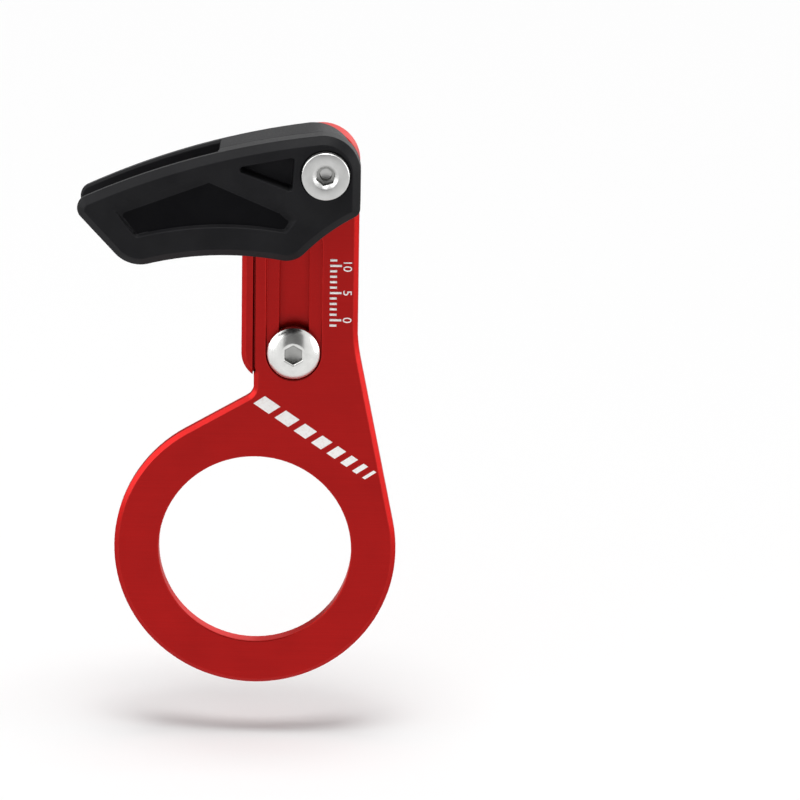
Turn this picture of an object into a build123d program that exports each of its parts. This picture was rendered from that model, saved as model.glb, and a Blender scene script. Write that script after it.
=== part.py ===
import os
from math import acos, atan2, cos, hypot, radians, sin, tan

from build123d import *

# Bicycle chain guide for a threaded bottom bracket, in millimetres.
# Origin: bottom bracket axis, on the face of the ring that seats on the frame.
# X runs forward on the bicycle, Y inboard, Z up. Outboard faces therefore have the lower Y.

# Ring that the bottom bracket cup clamps
bore_radius = 17.5
ring_radius = 25.6
plate_thickness = 3.0
plate_chamfer = 0.8
edge_break = 0.15
overshoot = 1.0

# Flanks that run from the ring up to the arm
rear_flank_angle = 30.0
rear_flank_fillet = 2.3
front_flank_fillet = 30.0

# Arm
neck_rear = -0.45
arm_rear = -0.2
arm_front = 18.15
notch_below_slot = 3.5
hip_above_slot = 2.0
notch_relief = 0.3
arm_corner = 2.0
arm_land = 4.0

# Stepped slot in the arm, and the screw's travel in it
slot_x = 6.7
slot_above_ring = 11.3
travel = 20.0
slot_clearance = 0.15
head_clearance = 0.2
slot_step = 1.2

# Slider behind the arm
slide_gap = 0.05
lip_gap = 0.45
lip_width = 2.05
slider_back = 4.0
slider_front_edge = 18.15
slider_foot = 5.2
slider_foot_corner = 5.0
slider_top_corner = 6.8
slider_top_rear_corner = 4.0
slider_top_slope = 12.0
slider_top_rise = 5.9
slider_front_chamfer = 0.8
slider_back_chamfer = 0.6
channel_end_gap = 0.6
pad_rise = 0.3
pad_inset = 1.0

# Guide bolt, seen from the end of the slider's channel
bolt_x = 12.36
bolt_above_channel = 6.05
turn_gap = 0.05
shank_clearance = 0.05
thread_clearance = 0.02

# Guide halves
inner_plate = 2.2
inner_spacer = 5.55
outer_spacer = 2.35
outer_plate = 2.9
rim_bevel = 1.4
inner_back_chamfer = 0.5
mouth_chamfer = 0.4

# Corners of the guide's outline before rounding, from the bolt axis
tip = (-45.1, -6.1)
heel = (-34.4, -17.65)
toe = (-5.2, -16.15)
chin_height = -7.2
front_reach = 6.1
outer_crown_height = 7.4
inner_crown_height = 7.85
crown_radius = 138.0
arch_radius = 57.0
throat_radius = 36.0
heel_round = 6.0
toe_round = 4.5
chin_round = rim_bevel + 0.2
outer_tip_round = rim_bevel + 0.9
outer_crown_round = 6.5
inner_tip_round = 2.2
inner_crown_round = 7.4
inner_front_setback = 1.1

# Block above the chain where the two halves meet
spacer_rear = -18.85
spacer_floor = -6.0
spacer_round = 2.0
peg_radius = 1.5
peg_height = 2.0
peg_clearance = 0.1
pegs = ((-15.6, -3.2), (3.0, -3.7))

# Long pocket in the outer half: mouth at the face, floor below, from the bolt axis
pocket_depth = 0.95
pocket_mouth = ((-37.5, -6.2), (-20.4, 0.0), (-7.2, -5.7), (-4.9, -7.9), (-6.7, -10.5), (-33.3, -11.8))
pocket_floor = ((-36.0, -7.65), (-20.4, -1.8), (-8.0, -7.1), (-6.3, -8.6), (-7.2, -10.1), (-33.0, -11.3))
pocket_arch = 62.0
pocket_round = 0.7

# Three-cornered pocket beside the bolt
window_depth = 4.0
window_corners = ((-16.6, 0.9), (-5.4, 3.1), (-5.8, -3.2))
window_round = 0.6
window_draft = 4.0

# M5 fasteners
thread_radius = 2.5
hex_across = 3.0
bolt_head_radius = 4.2
bolt_head_height = 1.9
bolt_head_sink = 0.6
bolt_head_room = 0.3
bolt_length = 18.0
bolt_socket_depth = 1.5
bolt_socket_mouth = 2.2
bolt_socket_turn = -9.0
button_radius = 4.75
button_height = 2.75
button_rim = 1.3
button_flat = 2.1
button_dome = 4.7
button_length = 6.0
button_socket_depth = 1.6
thread_end_chamfer = 0.5
head_edge = 0.25

# Places that follow from the sizes above
plate_front = -plate_thickness
step_floor = plate_front + slot_step
slot_width = 2 * (thread_radius + slot_clearance)
step_width = 2 * (button_radius + head_clearance)
slot_low = ring_radius + slot_above_ring
slot_high = slot_low + travel
notch_height = slot_low - notch_below_slot
hip = slot_low + hip_above_slot
arm_top = slot_high + step_width / 2 + arm_land
channel_top = arm_top + channel_end_gap
bolt_z = channel_top + bolt_above_channel
lip_front = arm_rear - lip_gap
slider_rear_edge = lip_front - lip_width
slider_bottom = slot_low - slider_foot
pad_front = plate_front - pad_rise
guide_back = pad_front - turn_gap
chain_side_inner = guide_back - inner_plate
parting = chain_side_inner - inner_spacer
chain_side_outer = parting - outer_spacer
guide_front = chain_side_outer - outer_plate
bolt_seat = guide_front + bolt_head_sink


def slab(profile, back, front):
    # A flat profile drawn as X and Z, given thickness between two Y levels.
    return Pos(0, back, 0) * extrude(Plane.XZ * profile, back - front)


def corner(profile, point):
    return profile.vertices().sort_by_distance((point[0], point[1], 0))[0]


def rounded(profile, corners):
    # Rounds the named corners of a flat profile, one radius each.
    for point, radius in corners:
        profile = fillet(corner(profile, point), radius)
    return profile


def from_bolt(points):
    return [(bolt_x + x, bolt_z + z) for x, z in points]


def box_between(low, high):
    size = [b - a for a, b in zip(low, high)]
    return Pos(*low) * Box(*size, align=(Align.MIN, Align.MIN, Align.MIN))


def outer_edges(part, level):
    # Edges of the outer outline of the flat face that lies at this Y.
    face = part.faces().filter_by(Axis.Y).filter_by(lambda f: abs(f.center().Y - level) < 1e-4)
    return face.sort_by(SortBy.AREA)[-1].outer_wire().edges()


def upright_slot(width, low, high):
    return Pos(slot_x, (low + high) / 2) * Rot(0, 0, 90) * SlotCenterToCenter(high - low, width)


def hex_socket(depth, mouth_level, axis_x, axis_z, turn=0):
    # A corner points straight up unless the screw has been left turned.
    hexagon = RegularPolygon(hex_across / 2, 6, major_radius=False, rotation=30 + turn)
    return slab(Pos(axis_x, axis_z) * hexagon, mouth_level + depth, mouth_level)


def turned(profile_points, axis_x, axis_z):
    # A part turned about an axis along Y, from points given as radius and Y.
    half = make_face(Polyline(*profile_points, close=True))
    return Pos(axis_x, 0, axis_z) * revolve(half, Axis.Y)


def ring_plate():
    rear_tangent = radians(90 + rear_flank_angle)
    front_tangent = atan2(hip, arm_front) - acos(ring_radius / hypot(hip, arm_front))
    neck_low = (ring_radius - neck_rear * cos(rear_tangent)) / sin(rear_tangent)
    arm = make_face(Polyline(
        (ring_radius * cos(rear_tangent), ring_radius * sin(rear_tangent)),
        (neck_rear, neck_low),
        (neck_rear, arm_top),
        (arm_front, arm_top),
        (arm_front, hip),
        (ring_radius * cos(front_tangent), ring_radius * sin(front_tangent)),
        (0, 0),
        close=True,
    ))
    arm = rounded(arm, (
        ((neck_rear, neck_low), rear_flank_fillet),
        ((neck_rear, arm_top), arm_corner),
        ((arm_front, arm_top), arm_corner),
        ((arm_front, hip), front_flank_fillet),
    ))
    plate = slab(Circle(ring_radius) + arm, 0, plate_front)
    for level in (plate_front, 0):
        plate = chamfer(outer_edges(plate, level), plate_chamfer)

    # The edge that runs beside the slider's lip is square and set back, with a round relief at its foot.
    square_top = arm_top - arm_corner
    plate += box_between((neck_rear, plate_front, notch_height), (arm_rear + arm_corner, 0, square_top))
    plate -= box_between((neck_rear - overshoot, plate_front, notch_height), (arm_rear, 0, arm_top))
    relief = Pos(arm_rear - notch_relief / 2, notch_height + notch_relief) * Circle(notch_relief)
    plate -= slab(relief, 0, plate_front)

    plate -= slab(Circle(bore_radius), 0, plate_front)
    plate -= slab(upright_slot(step_width, slot_low, slot_high), step_floor, plate_front)
    plate -= slab(upright_slot(slot_width, slot_low, slot_high), 0, plate_front)
    # Only the outboard mouths are broken: the face that seats on the frame keeps a full bore.
    face = plate.faces().filter_by(Axis.Y).sort_by(Axis.Y)[0]
    mouths = [edge for wire in face.inner_wires() for edge in wire.edges()]
    return chamfer(mouths, edge_break)


def slide_plate():
    slope = tan(radians(slider_top_slope))
    over_bolt = bolt_z + slider_top_rise
    foot_rear = (slider_rear_edge, slider_bottom)
    foot_front = (slider_front_edge, slider_bottom)
    top_front = (slider_front_edge, over_bolt + slope * (slider_front_edge - bolt_x))
    top_rear = (slider_rear_edge, over_bolt + slope * (slider_rear_edge - bolt_x))
    profile = make_face(Polyline(foot_rear, foot_front, top_front, top_rear, close=True))
    profile = rounded(profile, (
        (foot_rear, slider_foot_corner),
        (foot_front, slider_foot_corner),
        (top_front, slider_top_corner),
        (top_rear, slider_top_rear_corner),
    ))
    plate = slab(profile, slider_back, plate_front)
    plate = chamfer(outer_edges(plate, plate_front), slider_front_chamfer)
    plate = chamfer(outer_edges(plate, slider_back), slider_back_chamfer)

    # Channel for the arm, open at the foot and at the front edge
    plate -= box_between(
        (lip_front, plate_front, slider_bottom - overshoot),
        (slider_front_edge + overshoot, slide_gap, channel_top),
    )

    # Raised pad that carries the guide clear of the arm
    width = slider_front_edge - slider_rear_edge
    height = top_front[1] - channel_top
    pad_corner = Pos(slider_rear_edge, channel_top + pad_inset)
    above_channel = pad_corner * Rectangle(width, height, align=Align.MIN)
    plate += slab(offset(profile, -pad_inset) & above_channel, plate_front, pad_front)

    # Tapped holes for the two screws
    for x, z in ((slot_x, slot_low), (bolt_x, bolt_z)):
        plate -= slab(Pos(x, z) * Circle(thread_radius + thread_clearance), slider_back, pad_front)
    return plate


def guide_profile(front, crown_height, tip_round, crown_round):
    # Crown and arch are long arcs, the throat is hollow, and the two ends are straight.
    chin = (front, chin_height)
    crown = (front, crown_height)
    tip_at, heel_at, toe_at, chin_at, crown_at = from_bolt((tip, heel, toe, chin, crown))
    outline = [
        RadiusArc(tip_at, crown_at, crown_radius),
        Line(crown_at, chin_at),
        RadiusArc(chin_at, toe_at, -throat_radius),
        RadiusArc(toe_at, heel_at, -arch_radius),
        Line(heel_at, tip_at),
    ]
    return rounded(make_face(outline), (
        (tip_at, tip_round),
        (heel_at, heel_round),
        (toe_at, toe_round),
        (chin_at, chin_round),
        (crown_at, crown_round),
    ))


def spacer_profile(profile):
    # The part of the outline above the chain, where the halves meet.
    rear, floor = from_bolt(((spacer_rear, spacer_floor),))[0]
    reach = front_reach - spacer_rear
    area = Pos(rear, floor) * Rectangle(2 * reach, 2 * reach, align=(Align.MIN, Align.MIN))
    return profile & rounded(area, (((rear, floor), spacer_round),))


def bolt_hole(back, front):
    return slab(Pos(bolt_x, bolt_z) * Circle(thread_radius + shank_clearance), back, front)


def peg_places():
    return from_bolt(pegs)


def outer_guide():
    profile = guide_profile(front_reach, outer_crown_height, outer_tip_round, outer_crown_round)
    half = slab(profile, chain_side_outer, guide_front)
    half = chamfer(outer_edges(half, guide_front), rim_bevel)
    half = chamfer(outer_edges(half, chain_side_outer), mouth_chamfer)
    half += slab(spacer_profile(profile), parting, guide_front + rim_bevel)

    half -= long_pocket()
    half -= window()
    half -= bolt_hole(parting, guide_front)
    seat = Pos(bolt_x, bolt_z) * Circle(bolt_head_radius + bolt_head_room)
    half -= slab(seat, bolt_seat, guide_front)
    for x, z in peg_places():
        socket = Pos(x, z) * Circle(peg_radius + peg_clearance)
        half -= slab(socket, parting, parting - peg_height - peg_clearance)
    return half


def long_pocket():
    # Sloped upper walls: the mouth is taller than the floor.
    sections = []
    for points, level in ((pocket_mouth, guide_front), (pocket_floor, guide_front + pocket_depth)):
        corners = from_bolt(points)
        outline = [Line(a, b) for a, b in zip(corners, corners[1:])][:-1]
        outline.append(RadiusArc(corners[-2], corners[-1], -pocket_arch))
        outline.append(Line(corners[-1], corners[0]))
        face = rounded(make_face(outline), [(point, pocket_round) for point in corners])
        sections.append(Pos(0, level, 0) * (Plane.XZ * face))
    return loft(sections, ruled=True)


def window():
    corners = from_bolt(window_corners)
    face = make_face(Polyline(*corners, close=True))
    face = rounded(face, [(point, window_round) for point in corners])
    mouth = Pos(0, guide_front, 0) * (Plane.XZ * face)
    return extrude(mouth, window_depth, dir=(0, 1, 0), taper=window_draft)


def inner_guide():
    front = front_reach - inner_front_setback
    profile = guide_profile(front, inner_crown_height, inner_tip_round, inner_crown_round)
    half = slab(profile, guide_back, chain_side_inner)
    half = chamfer(outer_edges(half, guide_back), inner_back_chamfer)
    half = chamfer(outer_edges(half, chain_side_inner), mouth_chamfer)
    half += slab(spacer_profile(profile), guide_back - inner_back_chamfer, parting)
    half -= bolt_hole(guide_back, parting)
    for x, z in peg_places():
        half += slab(Pos(x, z) * Circle(peg_radius), parting, parting - peg_height)
    return half


def guide_bolt():
    under_head = bolt_seat - turn_gap
    top = under_head - bolt_head_height
    end = under_head + bolt_length
    bolt = turned((
        (0, top),
        (bolt_head_radius - head_edge, top),
        (bolt_head_radius, top + head_edge),
        (bolt_head_radius, under_head),
        (thread_radius, under_head),
        (thread_radius, end - thread_end_chamfer),
        (thread_radius - thread_end_chamfer, end),
        (0, end),
    ), bolt_x, bolt_z)
    bolt -= hex_socket(bolt_socket_depth, top, bolt_x, bolt_z, bolt_socket_turn)
    flat = hex_across / 2
    mouth_floor = top + (bolt_socket_mouth - flat) / 2
    mouth = turned((
        (0, top),
        (bolt_socket_mouth, top),
        (flat, mouth_floor),
        (0, mouth_floor),
    ), bolt_x, bolt_z)
    return bolt - mouth


def slot_screw():
    under_head = step_floor - slide_gap
    top = under_head - button_height
    end = under_head + button_length
    rim = (button_radius, under_head - button_rim)
    shoulder = (button_flat, top)
    outline = [
        Line((0, top), shoulder),
        RadiusArc(shoulder, rim, -button_dome),
        Line(rim, (button_radius, under_head)),
        Polyline(
            (button_radius, under_head),
            (thread_radius, under_head),
            (thread_radius, end - thread_end_chamfer),
            (thread_radius - thread_end_chamfer, end),
            (0, end),
            (0, top),
        ),
    ]
    screw = Pos(slot_x, 0, slot_low) * revolve(make_face(outline), Axis.Y)
    return screw - hex_socket(button_socket_depth, top, slot_x, slot_low)


os.makedirs("parts", exist_ok=True)
for build in (ring_plate, slide_plate, outer_guide, inner_guide, guide_bolt, slot_screw):
    export_step(build(), f"parts/{build.__name__}.step")
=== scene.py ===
import math

import bmesh
import bpy
from mathutils import Matrix, Vector
from mathutils.bvhtree import BVHTree


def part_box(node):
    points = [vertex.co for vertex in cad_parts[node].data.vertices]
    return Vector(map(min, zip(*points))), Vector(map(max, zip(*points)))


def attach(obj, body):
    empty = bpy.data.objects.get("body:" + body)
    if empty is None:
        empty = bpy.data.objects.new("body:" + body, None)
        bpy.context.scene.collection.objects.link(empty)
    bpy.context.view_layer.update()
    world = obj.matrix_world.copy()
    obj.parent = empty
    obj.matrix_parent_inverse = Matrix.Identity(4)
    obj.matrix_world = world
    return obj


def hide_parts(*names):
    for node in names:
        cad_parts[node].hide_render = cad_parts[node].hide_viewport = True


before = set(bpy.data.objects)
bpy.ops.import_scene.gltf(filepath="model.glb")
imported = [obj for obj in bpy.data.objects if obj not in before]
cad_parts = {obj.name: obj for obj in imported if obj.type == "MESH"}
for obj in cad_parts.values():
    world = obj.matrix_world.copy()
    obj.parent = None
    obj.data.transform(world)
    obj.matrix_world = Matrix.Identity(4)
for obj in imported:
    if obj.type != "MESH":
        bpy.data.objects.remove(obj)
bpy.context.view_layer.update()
mm = 0.001
white = (1, 1, 1, 1)
mergeReach = 1e-7  # points nearer than this are one
print("frame loaded:", ", ".join(sorted(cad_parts)))


def setSockets(tree, node, values):
    for socket, value in values.items():
        if isinstance(value, bpy.types.NodeSocket):
            tree.links.new(value, node.inputs[socket])
        else:
            node.inputs[socket].default_value = value


def addNode(tree, kind, values=None, **props):
    node = tree.nodes.new("ShaderNode" + kind)
    for name, value in props.items():
        setattr(node, name, value)
    setSockets(tree, node, values or {})
    return node


def newFinish(name):
    material = bpy.data.materials.new(name)
    material.use_nodes = True
    tree = material.node_tree
    tree.nodes.clear()
    shader = addNode(tree, "BsdfPrincipled")
    addNode(tree, "OutputMaterial", {"Surface": shader.outputs["BSDF"]})
    return material, tree, shader


def grain(tree, size, detail=3.0, stretch=(1, 1, 1)):
    # noise whose features are about this size
    coords = addNode(tree, "TexCoord")
    turned = addNode(tree, "Mapping", {"Vector": coords.outputs["Object"], "Scale": stretch})
    noise = addNode(tree, "TexNoise", {
        "Vector": turned.outputs["Vector"], "Scale": 1 / size, "Detail": detail})
    return noise.outputs["Fac"]


def spread(tree, value, low, high, fromLow=0.3, fromHigh=0.7):
    # noise hardly leaves the middle of its range, so the middle is spread
    mapped = addNode(tree, "MapRange", {
        "Value": value, "From Min": fromLow, "From Max": fromHigh, "To Min": low, "To Max": high})
    return mapped.outputs["Result"]


def combine(tree, operation, first, second):
    node = addNode(tree, "Math", {0: first, 1: second}, operation=operation)
    return node.outputs["Value"]


def blendColours(tree, factor, first, second):
    # the Mix node's colours are its sockets 6 and 7
    node = addNode(tree, "Mix", {0: factor, 6: first, 7: second}, data_type="RGBA")
    return node.outputs[2]


def blendValues(tree, factor, first, second):
    # and its plain numbers are 2 and 3
    node = addNode(tree, "Mix", {0: factor, 2: first, 3: second}, data_type="FLOAT")
    return node.outputs[0]


def faceMark(tree, name):
    # a number that the mesh holds on each face
    return addNode(tree, "Attribute", attribute_name=name).outputs["Fac"]


redAnodised = {
    "deep": (0.362, 0.0045, 0.0040, 1),
    "lit": (0.448, 0.0069, 0.0060, 1),
    "edge": (0.50, 0.023, 0.019, 1),
    "rubSize": 1.5 * mm,
    "rubMost": 0.5,
    "grainSize": 0.10 * mm,
    "streakSize": 0.14 * mm,
    "streakStretch": (0.012, 1, 1),
    "streakHeight": 0.6,
    "cloudSize": 9 * mm,
    "bump": 0.16,
    "bumpDepth": 0.02 * mm,
    "rough": (0.36, 0.46),
    "cutRough": 0.30,
    "grazing": (1.0, 0.30, 0.27, 1),
    "coat": 0.2,
    "coatRough": 0.22,
    "coatIor": 1.5,
}


def makeRedAnodised(s):
    material, tree, shader = newFinish("red_anodised_finish")
    streak = grain(tree, s["streakSize"], 2, s["streakStretch"])
    cloud = grain(tree, s["cloudSize"])
    tone = combine(tree, "ADD", spread(tree, streak, 0, 0.5), spread(tree, cloud, 0, 0.5))
    colour = blendColours(tree, tone, s["deep"], s["lit"])
    patches = spread(tree, grain(tree, s["rubSize"]), 0, s["rubMost"])
    rub = combine(tree, "MULTIPLY", faceMark(tree, "edgeMark"), patches)
    colour = blendColours(tree, rub, colour, s["edge"])
    blasted = grain(tree, s["grainSize"])
    height = combine(tree, "ADD", blasted, combine(tree, "MULTIPLY", streak, s["streakHeight"]))
    bump = addNode(tree, "Bump", {"Height": height, "Strength": s["bump"], "Distance": s["bumpDepth"]})
    rough = spread(tree, streak, *s["rough"])
    rough = blendValues(tree, faceMark(tree, "edgeMark"), rough, s["cutRough"])
    setSockets(tree, shader, {
        "Base Color": colour,
        "Metallic": 1.0,
        "Roughness": rough,
        "Specular Tint": s["grazing"],
        "Coat Weight": s["coat"],
        "Coat Roughness": s["coatRough"],
        "Coat IOR": s["coatIor"],
        "Normal": bump.outputs["Normal"],
    })
    return material


moulding = {"cloudSize": 6 * mm, "bumpDepth": 0.02 * mm}
blackPlastic = {
    "name": "black_plastic_finish",
    "deep": (0.0066, 0.0066, 0.0076, 1),
    "lit": (0.0104, 0.0104, 0.0116, 1),
    "grainSize": 0.22 * mm,
    "grainDepth": 0.35,
    "rough": (0.46, 0.58),
    "specular": 0.11,
}
# painted shade: the pocket finish is darker than the face's, standing in for the shade on the long pocket's
# floor; it is also smoother, with a weaker specular
pocketShadePlastic = {
    "name": "black_pocket_painted_shade",
    "deep": (0.0025, 0.0025, 0.0032, 1),
    "lit": (0.0041, 0.0041, 0.0049, 1),
    "grainSize": 0.3 * mm,
    "grainDepth": 0.1,
    "rough": (0.30, 0.38),
    "specular": 0.045,
}
# painted light: the window finish is lighter than the face's, lifting the shade deep inside the window
windowPaintedLightPlastic = {
    "name": "black_window_painted_light",
    "deep": (0.0140, 0.0140, 0.0155, 1),
    "lit": (0.0190, 0.0190, 0.0205, 1),
    "grainSize": 0.3 * mm,
    "grainDepth": 0.1,
    "rough": (0.50, 0.60),
    "specular": 0.03,
}


def makeBlackPlastic(s, m):
    material, tree, shader = newFinish(s["name"])
    cloud = grain(tree, m["cloudSize"])
    texture = grain(tree, s["grainSize"])
    bump = addNode(tree, "Bump", {
        "Height": texture, "Strength": s["grainDepth"], "Distance": m["bumpDepth"]})
    setSockets(tree, shader, {
        "Base Color": blendColours(tree, spread(tree, cloud, 0, 1), s["deep"], s["lit"]),
        "Roughness": spread(tree, texture, *s["rough"]),
        "Specular IOR Level": s["specular"],
        "Normal": bump.outputs["Normal"],
    })
    return material


def turningLines(tree, centre, size):
    # fine rings round an axis along Y, left by the lathe
    coords = addNode(tree, "TexCoord")
    moved = addNode(tree, "Mapping", {
        "Vector": coords.outputs["Object"], "Location": (-centre.x, 0, -centre.z), "Scale": (1, 0, 1)})
    radius = addNode(tree, "VectorMath", {0: moved.outputs["Vector"]}, operation="LENGTH")
    lines = addNode(tree, "TexNoise", {"W": radius.outputs["Value"], "Scale": 1 / size, "Detail": 2.0},
                    noise_dimensions="1D")
    return lines.outputs["Fac"]


machining = {"cloudSize": 1.6 * mm, "speckSize": 0.09 * mm, "speckHeight": 0.5, "bumpDepth": 0.01 * mm}
satinSteel = {
    "name": "satin_steel_finish",
    "deep": (0.585, 0.585, 0.575, 1),
    "lit": (0.67, 0.67, 0.66, 1),
    "rough": (0.30, 0.38),
    "lineSize": 0.06 * mm,
    "lineDepth": 0.15,
}
brightSteel = {
    "name": "bright_steel_finish",
    "deep": (0.70, 0.70, 0.685, 1),
    "lit": (0.80, 0.80, 0.785, 1),
    "rough": (0.21, 0.26),
    "lineSize": 0.08 * mm,
    "lineDepth": 0.06,
}
# painted shade: the socket finishes are darker than the heads' steel, standing in for the shade inside the
# hex sockets; they are also rougher
brightSocketShade = {
    "name": "bright_socket_painted_shade",
    "deep": (0.33, 0.33, 0.32, 1),
    "lit": (0.41, 0.41, 0.40, 1),
    "rough": (0.27, 0.33),
    "lineSize": 0.1 * mm,
    "lineDepth": 0.1,
}
satinSocketShade = {
    "name": "satin_socket_painted_shade",
    "deep": (0.31, 0.31, 0.30, 1),
    "lit": (0.40, 0.40, 0.39, 1),
    "rough": (0.36, 0.46),
    "lineSize": 0.1 * mm,
    "lineDepth": 0.1,
}


def makeSteel(s, m, centre):
    material, tree, shader = newFinish(s["name"])
    lines = turningLines(tree, centre, s["lineSize"])
    cloud = grain(tree, m["cloudSize"])
    shade = blendColours(tree, spread(tree, cloud, 0, 1), s["deep"], s["lit"])
    speck = grain(tree, m["speckSize"])
    height = combine(tree, "ADD", lines, combine(tree, "MULTIPLY", speck, m["speckHeight"]))
    bump = addNode(tree, "Bump", {"Height": height, "Strength": s["lineDepth"], "Distance": m["bumpDepth"]})
    setSockets(tree, shader, {
        "Base Color": shade,
        "Metallic": 1.0,
        "Roughness": spread(tree, cloud, *s["rough"]),
        "Normal": bump.outputs["Normal"],
    })
    return material


whiteInk = {
    "thin": (0.78, 0.69, 0.67, 1),
    "full": (0.88, 0.86, 0.85, 1),
    "coverSize": 0.35 * mm,
    "cover": (0.2, 1.0),
    "coverFrom": (0.25, 0.5),
    "textureSize": 0.07 * mm,
    "bump": 0.2,
    "bumpDepth": 0.01 * mm,
    "rough": (0.45, 0.6),
    "specular": 0.3,
}


def makeWhiteInk(s):
    material, tree, shader = newFinish("white_ink_finish")
    cover = spread(tree, grain(tree, s["coverSize"]), *s["cover"], *s["coverFrom"])
    texture = grain(tree, s["textureSize"], 2)
    bump = addNode(tree, "Bump", {"Height": texture, "Strength": s["bump"], "Distance": s["bumpDepth"]})
    setSockets(tree, shader, {
        "Base Color": blendColours(tree, cover, s["thin"], s["full"]),
        "Roughness": spread(tree, texture, *s["rough"]),
        "Specular IOR Level": s["specular"],
        "Normal": bump.outputs["Normal"],
    })
    return material


def axisOf(node):
    low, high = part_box(node)
    return (low + high) / 2


finishes = {
    "red": makeRedAnodised(redAnodised),
    "black": makeBlackPlastic(blackPlastic, moulding),
    "pocket": makeBlackPlastic(pocketShadePlastic, moulding),
    "window": makeBlackPlastic(windowPaintedLightPlastic, moulding),
    "satin": makeSteel(satinSteel, machining, axisOf("guide_bolt")),
    "bright": makeSteel(brightSteel, machining, axisOf("slot_screw")),
    "satinSocketShade": makeSteel(satinSocketShade, machining, axisOf("guide_bolt")),
    "brightSocketShade": makeSteel(brightSocketShade, machining, axisOf("slot_screw")),
    "ink": makeWhiteInk(whiteInk),
}
print("finishes made:", ", ".join(finishes))


def finishPiece(shape, name, finish, body, node=None, others=()):
    for face in shape.faces:
        face.smooth = True
    mesh = bpy.data.meshes.new(name)
    shape.to_mesh(mesh)
    shape.free()
    mesh.materials.append(finishes[finish])
    for other in others:
        mesh.materials.append(finishes[other])
    if "custom_normal" in mesh.attributes:
        mesh.attributes.remove(mesh.attributes["custom_normal"])
    piece = bpy.data.objects.new(name, mesh)
    bpy.context.scene.collection.objects.link(piece)
    weighted = piece.modifiers.new("flat_faces", "WEIGHTED_NORMAL")
    weighted.weight = 100  # large faces stay flat up to their rounded edges
    if node:
        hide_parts(node)
    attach(piece, body)
    print("made", name, len(mesh.polygons), "faces")


# Plates and cheeks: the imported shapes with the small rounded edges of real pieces

def mergedCopy(node, flatAngle=0.002):
    shape = bmesh.new()
    shape.from_mesh(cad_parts[node].data)
    bmesh.ops.remove_doubles(shape, verts=shape.verts, dist=mergeReach)
    bmesh.ops.dissolve_limit(shape, angle_limit=flatAngle, verts=shape.verts, edges=shape.edges)
    return shape


def sharpEdges(shape, least=0.35):
    return [e for e in shape.edges if e.calc_face_angle(0) > least]


def roundEdges(shape, edges, size, segments, mark=None):
    made = bmesh.ops.bevel(shape, geom=edges, offset=size, offset_type="OFFSET", segments=segments,
                           profile=0.5, affect="EDGES", material=-1, clamp_overlap=False)
    if mark:
        for face in made["faces"]:
            face[mark] = 1


def pullBack(shape, surface, most):
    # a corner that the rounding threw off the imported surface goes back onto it
    for v in shape.verts:
        spot, normal, _, away = surface.find_nearest(v.co)
        if away > most and (v.co - spot).dot(normal) > 0:
            v.co = spot
    bmesh.ops.dissolve_degenerate(shape, dist=most / 100, edges=shape.edges)


anodisedRing = {
    "name": "anodised_ring",
    "node": "ring_plate",
    "body": "bracket",
    "round": 0.1 * mm,
    "segments": 2,
    "shortest": 0.09 * mm,  # an edge shorter than this stays sharp
}
anodisedSlider = {
    "name": "anodised_slider",
    "node": "slide_plate",
    "body": "slider",
    "round": 0.1 * mm,
    "segments": 2,
    "shortest": 0.09 * mm,
}


def makeRedPlate(s):
    shape = mergedCopy(s["node"])
    mark = shape.faces.layers.float.new("edgeMark")
    surface = BVHTree.FromBMesh(shape)
    edges = [e for e in sharpEdges(shape) if e.calc_length() > s["shortest"]]
    roundEdges(shape, edges, s["round"], s["segments"], mark)
    pullBack(shape, surface, s["round"])
    finishPiece(shape, s["name"], "red", s["body"], s["node"])


makeRedPlate(anodisedRing)
makeRedPlate(anodisedSlider)


cheekEdges = {
    "round": 0.24 * mm,
    "bevelRound": 0.13 * mm,
    "bevelTurn": 1.0,  # edges that turn less than this, in radians, are the bevels'
    "seatRound": 0.05 * mm,
    "seatReach": 4.6 * mm,
    "partingReach": 0.01 * mm,
    "crownRound": 0.10 * mm,
    "crownRise": 2.0 * mm,
    "segments": 3,
    "mostOutside": 0.03 * mm,
}
outerCheek = {
    "name": "outer_cheek",
    "node": "outer_guide",
    "pocketDepth": 0.95 * mm,
    "windowDepth": 4.0 * mm,
    "depthReach": 0.05 * mm,
    "frontReach": 0.01 * mm,
    "insides": ("pocket", "window"),
}
innerCheek = {
    "name": "inner_cheek",
    "node": "inner_guide",
    "insides": (),
}
roundings = ("sharp", "round", "bevelRound", "seatRound", "crownRound")


def pocketFloors(shape, front, depth, reach):
    return [f for f in shape.faces if f.normal.y < -0.99
            and abs(f.calc_center_median().y - front - depth) < reach]


def paintInsideShading(shape, s):
    # the long pocket's floor gets painted shade, a darker colour, and the whole of the window up to the
    # front face gets painted light, a lighter one
    front = min(v.co.y for v in shape.verts)
    pocket, window = (1 + s["insides"].index(inside) for inside in ("pocket", "window"))
    for face in pocketFloors(shape, front, s["pocketDepth"], s["depthReach"]):
        face.material_index = pocket
    todo = pocketFloors(shape, front, s["windowDepth"], s["depthReach"])
    while todo:
        face = todo.pop()
        if face.material_index == 0 and face.calc_center_median().y - front > s["frontReach"]:
            face.material_index = window
            todo.extend(f for e in face.edges for f in e.link_faces)


def lowerCrown(shape, axis, parting, s):
    # moulding draft: at the parting line the inner half's crown is no higher than the outer half's
    outer = mergedCopy("outer_guide")
    surface = BVHTree.FromBMesh(outer)
    outer.free()
    for v in shape.verts:
        fromBolt = math.hypot(v.co.x - axis.x, v.co.z - axis.z)
        onCrown = v.co.z > axis.z + s["crownRise"] and fromBolt > s["seatReach"]
        if onCrown and abs(v.co.y - parting) < s["partingReach"]:
            above = Vector((v.co.x, parting - s["partingReach"], v.co.z + s["seatReach"]))
            spot = surface.ray_cast(above, Vector((0, 0, -1)))[0]
            if spot:
                v.co.z = min(v.co.z, spot.z)


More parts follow.
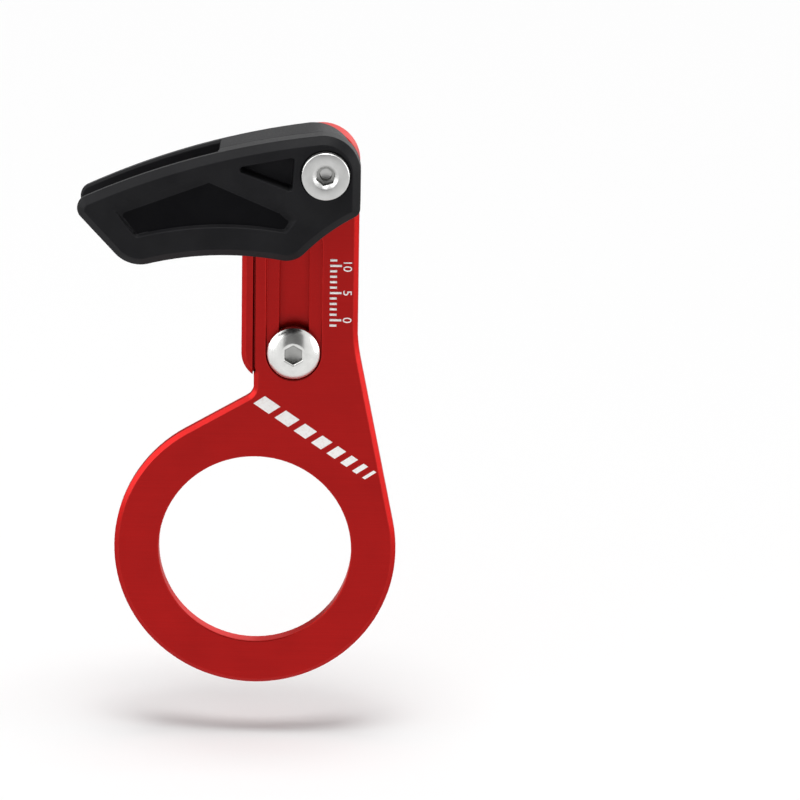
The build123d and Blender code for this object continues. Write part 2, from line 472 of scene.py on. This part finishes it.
def chooseRounding(edge, axis, parting, s):
    middle = (edge.verts[0].co + edge.verts[1].co) / 2
    if math.hypot(middle.x - axis.x, middle.z - axis.z) < s["seatReach"]:
        return "seatRound"
    if max(abs(v.co.y - parting) for v in edge.verts) < s["partingReach"]:
        return "crownRound" if middle.z > axis.z + s["crownRise"] else "seatRound"
    return "round" if edge.calc_face_angle(0) > s["bevelTurn"] else "bevelRound"


def makeCheek(s, edges):
    shape = mergedCopy(s["node"])
    axis = axisOf("guide_bolt")
    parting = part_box("outer_guide")[1].y
    if s["insides"]:
        paintInsideShading(shape, s)
    else:
        lowerCrown(shape, axis, parting, edges)
    surface = BVHTree.FromBMesh(shape)
    group = shape.edges.layers.int.new("roundingGroup")
    for edge in sharpEdges(shape):
        edge[group] = roundings.index(chooseRounding(edge, axis, parting, edges))
    for size in roundings[1:]:
        chosen = [e for e in shape.edges if e[group] == roundings.index(size)]
        for edge in chosen:
            edge[group] = 0
        roundEdges(shape, chosen, edges[size], edges["segments"])
    pullBack(shape, surface, edges["mostOutside"])
    finishPiece(shape, s["name"], "black", "guide", s["node"], s["insides"])


makeCheek(outerCheek, cheekEdges)
makeCheek(innerCheek, cheekEdges)


# Screws: loops round the axis, joined one to the next. They are made in millimetres, then brought to size

loopCount = 96
dish = 0.02  # two loops at one level would be joined crossed, so a flat face is a little hollow
thread = {
    "radius": 2.5,
    "pitch": 0.8,
    "depth": 0.49,
    "profile": ((0, 0), (0, 0.25), (1, 0.5625), (1, 0.6875), (0, 1)),  # shares of depth and of pitch
    "steps": 48,
    "endChamfer": 0.5,
    "runOut": 0.15,
    "mergeReach": 1e-4,
    "cutReach": 1e-5,
}


def addLoop(shape, axis, radius, level, corners=loopCount, turn=0.0):
    # a loop with few corners has its sides divided, so that all loops match
    before = set(shape.edges)
    flat = Matrix.Rotation(math.radians(turn), 4, "Y") @ Matrix.Rotation(math.radians(90), 4, "X")
    place = Matrix.Translation((axis.x, level, axis.z)) @ flat
    bmesh.ops.create_circle(shape, segments=corners, radius=radius, matrix=place)
    if corners < loopCount:
        sides = [e for e in shape.edges if e not in before]
        bmesh.ops.subdivide_edges(shape, edges=sides, cuts=loopCount // corners - 1)
    return [e for e in shape.edges if e not in before]


def hexCorner(across):
    return across / math.sqrt(3)


def addHexLoop(shape, axis, across, level, turn):
    return addLoop(shape, axis, hexCorner(across), level, 6, turn)


def fromAxis(point, axis):
    return math.hypot(point.x - axis.x, point.z - axis.z)


def addThread(shape, axis, t, start, end):
    # one turn's profile from root to root, wound round the axis, then cut square at both ends
    root = t["radius"] - t["depth"]
    pitch = t["pitch"]
    first = start - pitch
    turns = math.ceil((end - start) / pitch) + 2  # a turn to spare at each end
    outline = [(root + share * t["depth"], first + along * pitch) for share, along in t["profile"]]
    points = [shape.verts.new((axis.x + r, level, axis.z)) for r, level in outline]
    lines = [shape.edges.new(pair) for pair in zip(points, points[1:])]
    bmesh.ops.spin(shape, geom=points + lines, cent=(axis.x, 0, axis.z), axis=(0, 1, 0),
                   dvec=(0, pitch / t["steps"], 0), angle=turns * math.tau, steps=turns * t["steps"])
    bmesh.ops.remove_doubles(shape, verts=shape.verts, dist=t["mergeReach"])
    cuts = []
    for level, side in ((start, -1), (end, 1)):
        everything = shape.verts[:] + shape.edges[:] + shape.faces[:]
        made = bmesh.ops.bisect_plane(shape, geom=everything, dist=t["cutReach"], clear_outer=True,
                                      plane_co=(0, level, 0), plane_no=(0, side, 0))
        cuts.append([e for e in made["geom_cut"] if isinstance(e, bmesh.types.BMEdge)])
    for v in shape.verts:
        out = Vector((v.co.x - axis.x, v.co.z - axis.z))
        most = t["radius"] - max(0, v.co.y - end + t["endChamfer"])
        if out.length > most:
            out *= most / out.length
            v.co.x = axis.x + out.x
            v.co.z = axis.z + out.y
    bmesh.ops.edgeloop_fill(shape, edges=cuts[1])
    return cuts[0]


def domeArc(start, end, radius, steps):
    # from the top flat down to the rim, bulging away from the axis
    start, end = Vector(start), Vector(end)
    half = (end - start) / 2
    inward = Vector((-half.y, half.x)).normalized()
    centre = start + half + inward * math.sqrt(radius ** 2 - half.length_squared)
    first = start - centre
    sweep = first.angle_signed(end - centre)
    turns = [Matrix.Rotation(-sweep * i / steps, 2) for i in range(steps + 1)]
    return [tuple(centre + turn @ first) for turn in turns]


def addSocketFloor(shape, axis, s, floor):
    # flat floor, in its middle the drilled hole and the point of the drill
    loops = [addHexLoop(shape, axis, s["hexAcross"], floor, s["hexTurn"])]
    drilled = floor + dish
    loops.append(addLoop(shape, axis, s["drillRadius"], drilled))
    if s["drillDepth"]:
        drilled = floor + s["drillDepth"]
        loops.append(addLoop(shape, axis, s["drillRadius"], drilled))
    cap = bmesh.ops.edgeloop_fill(shape, edges=loops[-1])
    point = bmesh.ops.poke(shape, faces=cap["faces"])
    point["verts"][0].co.y = drilled + s["drillPoint"]
    return loops


def shadeSocketWalls(shape, axis, s, top):
    # pressed walls stay dull, and their darker colour is painted shade; what lies deeper than the walls is
    # as clean as the head
    for face in shape.faces:
        middle = face.calc_center_median()
        inside = fromAxis(middle, axis) < hexCorner(s["hexAcross"])
        if inside and s["shadeFrom"] < middle.y - top < s["shadeTo"]:
            face.material_index = 1


def finishScrew(shape, axis, s, loops, top, under):
    for first, second in zip(loops, loops[1:]):
        bmesh.ops.bridge_loops(shape, edges=first + second)
    bmesh.ops.recalc_face_normals(shape, faces=shape.faces)
    shadeSocketWalls(shape, axis, s, top)
    bore = hexCorner(s["hexAcross"]) + s["round"]
    headEnd = under + s["round"]
    inHead = {v for v in shape.verts if v.co.y < headEnd or fromAxis(v.co, axis) < bore}
    edges = [e for e in sharpEdges(shape) if inHead.issuperset(e.verts)]
    roundEdges(shape, edges, s["round"], s["segments"])
    bmesh.ops.scale(shape, vec=(mm, mm, mm), verts=shape.verts)
    finishPiece(shape, s["name"], s["finish"], "slider", s["node"], (s["socketShadeFinish"],))


def measureScrew(s):
    # its axis, the head's radius, and where it starts and ends, in millimetres
    low, high = (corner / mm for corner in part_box(s["node"]))
    return (low + high) / 2, (high.x - low.x) / 2, low.y, high.y


cageBolt = {
    "name": "cage_bolt",
    "node": "guide_bolt",
    "slot": "satin_steel",
    "finish": "satin",
    "socketShadeFinish": "satinSocketShade",
    "headHeight": 1.9,
    "headEdge": 0.13,
    "threadLength": 7.0,
    "mouth": 2.27,
    "mouthSlope": 0.75,
    "hexAcross": 3.02,
    "hexTurn": 10.0,
    "socketDepth": 2.0,
    "drillRadius": 1.08,
    "drillDepth": 1.6,
    "drillPoint": 0.03,
    "shadeFrom": 0.75,
    "shadeTo": 3.5,
    "round": 0.04,
    "segments": 2,
}


def makeCageBolt(s, t):
    axis, radius, top, end = measureScrew(s)
    under = top + s["headHeight"]
    start = end - s["threadLength"]
    shape = bmesh.new()
    loops = [addThread(shape, axis, t, start, end)]
    outline = (
        (t["radius"], start - t["runOut"]),
        (t["radius"], under - dish),
        (radius, under),
        (radius, top + s["headEdge"]),
        (radius - s["headEdge"], top),
        (s["mouth"], top + dish),
    )
    loops.extend(addLoop(shape, axis, r, level) for r, level in outline)
    brim = addHexLoop(shape, axis, s["hexAcross"], top, s["hexTurn"])
    for v in {v for e in brim for v in e.verts}:  # onto the countersink's cone
        v.co.y = top + (s["mouth"] - fromAxis(v.co, axis)) * s["mouthSlope"]
    loops.append(brim)
    loops.extend(addSocketFloor(shape, axis, s, top + s["socketDepth"]))
    finishScrew(shape, axis, s, loops, top, under)


clampScrew = {
    "name": "clamp_screw",
    "node": "slot_screw",
    "slot": "bright_steel",
    "finish": "bright",
    "socketShadeFinish": "brightSocketShade",
    "headHeight": 2.75,
    "rim": 1.3,
    "flat": 2.1,
    "dome": 4.7,
    "domeSteps": 16,
    "neck": 0.3,
    "hexAcross": 3.05,
    "hexMouth": 3.42,
    "hexTurn": 0.0,
    "mouthDepth": 0.18,
    "socketDepth": 1.7,
    "drillRadius": 1.38,
    "drillDepth": 0.0,
    "drillPoint": 0.45,
    "shadeFrom": 0.2,
    "shadeTo": 2.6,
    "round": 0.04,
    "segments": 2,
}


def makeClampScrew(s, t):
    axis, radius, top, end = measureScrew(s)
    under = top + s["headHeight"]
    start = under + s["neck"] + t["runOut"]
    shape = bmesh.new()
    loops = [addThread(shape, axis, t, start, end)]
    outline = [(t["radius"], under + s["neck"]), (t["radius"], under - dish), (radius, under)]
    dome = domeArc((s["flat"], top), (radius, under - s["rim"]), s["dome"], s["domeSteps"])
    outline.extend(reversed(dome))
    loops.extend(addLoop(shape, axis, r, level) for r, level in outline)
    loops.append(addHexLoop(shape, axis, s["hexMouth"], top + dish, s["hexTurn"]))
    loops.append(addHexLoop(shape, axis, s["hexAcross"], top + s["mouthDepth"], s["hexTurn"]))
    loops.extend(addSocketFloor(shape, axis, s, top + s["socketDepth"]))
    finishScrew(shape, axis, s, loops, top, under)


makeCageBolt(cageBolt, thread)
makeClampScrew(clampScrew, thread)


# Printed marks: a plain height scale on the arm and a row of graded stripes on the ring

ink = {"thickness": 0.03 * mm, "sink": 0.005 * mm}


def addStripe(shape, width, height, slant, place):
    made = bmesh.ops.create_grid(shape, x_segments=1, y_segments=1, size=0.5)
    shear = Matrix.Identity(4)
    shear[0][1] = math.tan(math.radians(slant))
    sized = shear @ Matrix.Diagonal((width, height, 1, 1))
    bmesh.ops.transform(shape, matrix=place @ sized, verts=made["verts"])


def onFace(x, z, turn=0.0):
    # the print's own X and Y laid on the outboard face, upright on the arm unless it is turned
    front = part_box("ring_plate")[0].y
    upright = Matrix.Rotation(math.radians(90), 4, "X")
    return Matrix.Translation((x, front, z)) @ upright @ Matrix.Rotation(math.radians(turn), 4, "Z")


def finishMark(shape, name, s):
    bmesh.ops.recalc_face_normals(shape, faces=shape.faces)
    bmesh.ops.solidify(shape, geom=shape.faces[:], thickness=s["thickness"])
    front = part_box("ring_plate")[0].y
    deepest = max(v.co.y for v in shape.verts)
    bmesh.ops.translate(shape, verts=shape.verts, vec=(0, front + s["sink"] - deepest, 0))
    bmesh.ops.recalc_face_normals(shape, faces=shape.faces)
    finishPiece(shape, name, "ink", "bracket")


ringStripes = {
    "start": (0.6 * mm, 28.2 * mm),
    "turn": -34.5,
    "length": 24.6 * mm,
    "height": 2.3 * mm,
    "slant": 22.0,
    "widest": 3.4 * mm,
    "narrowest": 0.6 * mm,
    "count": 8,
}


def makeRingStripes(s, inkSettings):
    shape = bmesh.new()
    last = s["count"] - 1
    widths = [s["widest"] + (s["narrowest"] - s["widest"]) * i / last for i in range(s["count"])]
    gap = (s["length"] - sum(widths)) / last
    along = 0.0
    for width in widths:
        middle = Matrix.Translation((along + width / 2, 0, 0))
        place = onFace(*s["start"], s["turn"]) @ middle
        addStripe(shape, width, s["height"], s["slant"], place)
        along += width + gap
    finishMark(shape, "ring_stripes", inkSettings)


armScale = {
    "left": 13.1 * mm,
    "low": 42.2 * mm,
    "step": 1.0 * mm,
    "count": 13,
    "zeroAt": 1,  # lines below the one marked 0
    "long": 2.1 * mm,
    "short": 1.25 * mm,
    "line": 0.4 * mm,
    "numbers": ("0", "5", "10"),
    "numberEvery": 5,
    "numberHeight": 1.55 * mm,
    "numberLeft": 15.5 * mm,
    "numberTurn": -90.0,
    "digitShare": 0.7,  # a digit's height in the font's size
}


def numeralMesh(text, size):
    curve = bpy.data.curves.new("numeral", "FONT")
    curve.body = text
    curve.size = size
    curve.align_x = "CENTER"
    holder = bpy.data.objects.new("numeral", curve)
    mesh = bpy.data.meshes.new_from_object(holder)
    bpy.data.objects.remove(holder)
    bpy.data.curves.remove(curve)
    return mesh


def makeArmScale(s, inkSettings):
    shape = bmesh.new()
    for i in range(s["count"]):
        length = s["long"] if i % s["numberEvery"] == s["zeroAt"] else s["short"]
        place = onFace(s["left"] + length / 2, s["low"] + i * s["step"])
        addStripe(shape, length, s["line"], 0, place)
    for i, text in enumerate(s["numbers"]):
        level = s["low"] + (s["zeroAt"] + i * s["numberEvery"]) * s["step"]
        mesh = numeralMesh(text, s["numberHeight"] / s["digitShare"])
        mesh.transform(onFace(s["numberLeft"], level, s["numberTurn"]))
        shape.from_mesh(mesh)
        bpy.data.meshes.remove(mesh)
    bmesh.ops.remove_doubles(shape, verts=shape.verts, dist=mergeReach)
    finishMark(shape, "arm_scale", inkSettings)


makeRingStripes(ringStripes, ink)
makeArmScale(armScale, ink)


studio = {
    "floorHeight": -35.8 * mm,
    "floorSize": 6.0,
    "floorColour": (0.95, 0.95, 0.95, 1),
    "worldLevel": 0.36,
    "sunStrength": 2.14,
    "sunAngle": 31.0,
    "sunTowards": (0.02, -0.19, 1.0),
    "lampsAim": (0, 0, 0.03),
    "cardDistance": 0.6,
}
# lightsMatt: it lights matt surfaces, the floor among them; mirrored: metal shows it
softboxes = {
    "front_left": {
        "power": 3.0,
        "size": 0.7,
        "place": (-0.34, -0.72, 0.0),
        "lightsMatt": True,
        "mirrored": False,
    },
    "left": {
        "power": 6.2,
        "size": 0.95,
        "place": (-0.85, -0.17, 0.50),
        "lightsMatt": False,
        "mirrored": True,
    },
    "right": {
        "power": 3.2,
        "size": 0.6,
        "place": (0.85, -0.08, 0.22),
        "lightsMatt": False,
        "mirrored": True,
    },
    "behind": {
        "power": 1.5,
        "size": 0.7,
        "place": (0.30, 1.10, 0.22),
        "lightsMatt": False,
        "mirrored": True,
    },
}
# azimuth and elevation of each corner in degrees; azimuth 0 is the camera's side, -90 is left
dimCards = {
    "front_card": {"level": 0.16, "corners": ((-19, 3), (19, 3), (46, 52.5), (-46, 52.5))},
    "rear_card": {"level": 0.26, "corners": ((-169, -6), (-130, -6), (-130, 11), (-169, 11))},
}


def addStagePiece(sheet, name, material):
    mesh = bpy.data.meshes.new(name)
    sheet.to_mesh(mesh)
    sheet.free()
    mesh.materials.append(material)
    piece = bpy.data.objects.new(name, mesh)
    bpy.context.scene.collection.objects.link(piece)
    return piece


def makeFloor(s):
    sheet = bmesh.new()
    bmesh.ops.create_grid(sheet, x_segments=1, y_segments=1, size=s["floorSize"])
    bmesh.ops.translate(sheet, verts=sheet.verts, vec=(0, 0, s["floorHeight"]))
    material, tree, shader = newFinish("pale_floor")
    setSockets(tree, shader, {"Base Color": s["floorColour"], "Roughness": 1.0, "Specular IOR Level": 0.0})
    path = addNode(tree, "LightPath")
    plain = addNode(tree, "Emission", {"Color": white, "Strength": 1.0})
    mixed = addNode(tree, "MixShader", {
        0: path.outputs["Is Glossy Ray"], 1: shader.outputs["BSDF"], 2: plain.outputs["Emission"]})
    output = next(n for n in tree.nodes if n.type == "OUTPUT_MATERIAL")
    tree.links.new(mixed.outputs["Shader"], output.inputs["Surface"])
    floor = addStagePiece(sheet, "floor", material)


def makeDimCard(name, s, distance):
    # a card that only glossy surfaces show
    sheet = bmesh.new()
    corners = []
    for azimuth, elevation in s["corners"]:
        aside, height = math.radians(azimuth), math.radians(elevation)
        flat = Vector((math.sin(aside), -math.cos(aside), 0)) * math.cos(height)
        corners.append(sheet.verts.new((flat + Vector((0, 0, math.sin(height)))) * distance))
    sheet.faces.new(corners)
    material = bpy.data.materials.new(name)
    material.use_nodes = True
    tree = material.node_tree
    tree.nodes.clear()
    dim = addNode(tree, "Emission", {"Color": white, "Strength": s["level"]})
    addNode(tree, "OutputMaterial", {"Surface": dim.outputs["Emission"]})
    card = addStagePiece(sheet, name, material)
    card.visible_camera = False
    card.visible_diffuse = False
    card.visible_shadow = False
    card.visible_transmission = False


def makeWorld(s):
    world = bpy.data.worlds.new("studio")
    bpy.context.scene.world = world
    world.use_nodes = True
    tree = world.node_tree
    tree.nodes.clear()
    path = addNode(tree, "LightPath")
    seen = combine(tree, "MAXIMUM", path.outputs["Is Camera Ray"], path.outputs["Is Transmission Ray"])
    seen = combine(tree, "MAXIMUM", seen, path.outputs["Is Glossy Ray"])
    level = addNode(tree, "MapRange", {"Value": seen, "To Min": s["worldLevel"], "To Max": 1.0})
    light = addNode(tree, "Background", {"Color": white, "Strength": level.outputs["Result"]})
    addNode(tree, "OutputWorld", {"Surface": light.outputs["Background"]})


def addLamp(name, kind, place, towards, **settings):
    lamp = bpy.data.lights.new(name, kind)
    for key, value in settings.items():
        setattr(lamp, key, value)
    holder = bpy.data.objects.new(name, lamp)
    holder.location = place
    holder.rotation_mode = "QUATERNION"
    holder.rotation_quaternion = (Vector(towards) - Vector(place)).to_track_quat("-Z", "Y")
    bpy.context.scene.collection.objects.link(holder)
    return holder


photoCamera = {
    "place": (26.7 * mm, -767.4 * mm, 234.3 * mm),
    "lens": 197.8,
    "sensor": 36.0,
    "nearest": 0.01,
    "yaw": -0.055,
    "pitch": 15.063,
    "roll": 0.958,
}


def makeCamera(s):
    yaw, pitch, roll = (math.radians(s[k]) for k in ("yaw", "pitch", "roll"))
    ahead = Vector((math.sin(yaw) * math.cos(pitch), math.cos(yaw) * math.cos(pitch), -math.sin(pitch)))
    level = ahead.cross(Vector((0, 0, 1))).normalized()
    above = level.cross(ahead)
    right = math.cos(roll) * level + math.sin(roll) * above
    up = right.cross(ahead)
    camera = bpy.data.cameras.new("photo_camera")
    camera.lens = s["lens"]
    camera.sensor_width = s["sensor"]
    camera.sensor_fit = "HORIZONTAL"
    camera.clip_start = s["nearest"]
    holder = bpy.data.objects.new("photo_camera", camera)
    turn = Matrix((right, up, -ahead)).transposed().to_4x4()
    holder.matrix_world = Matrix.Translation(s["place"]) @ turn
    bpy.context.scene.collection.objects.link(holder)
    bpy.context.scene.camera = holder


makeFloor(studio)
for name, card in dimCards.items():
    makeDimCard(name, card, studio["cardDistance"])
makeWorld(studio)
addLamp("overhead", "SUN", studio["sunTowards"], (0, 0, 0),
        energy=studio["sunStrength"], angle=math.radians(studio["sunAngle"]))
for name, box in softboxes.items():
    lamp = addLamp(name, "AREA", box["place"], studio["lampsAim"],
                   energy=box["power"], shape="SQUARE", size=box["size"])
    lamp.visible_diffuse = box["lightsMatt"]
    lamp.visible_glossy = box["mirrored"]
    lamp.visible_camera = False
makeCamera(photoCamera)
bpy.context.scene.view_settings.view_transform = "Standard"
print("studio ready")
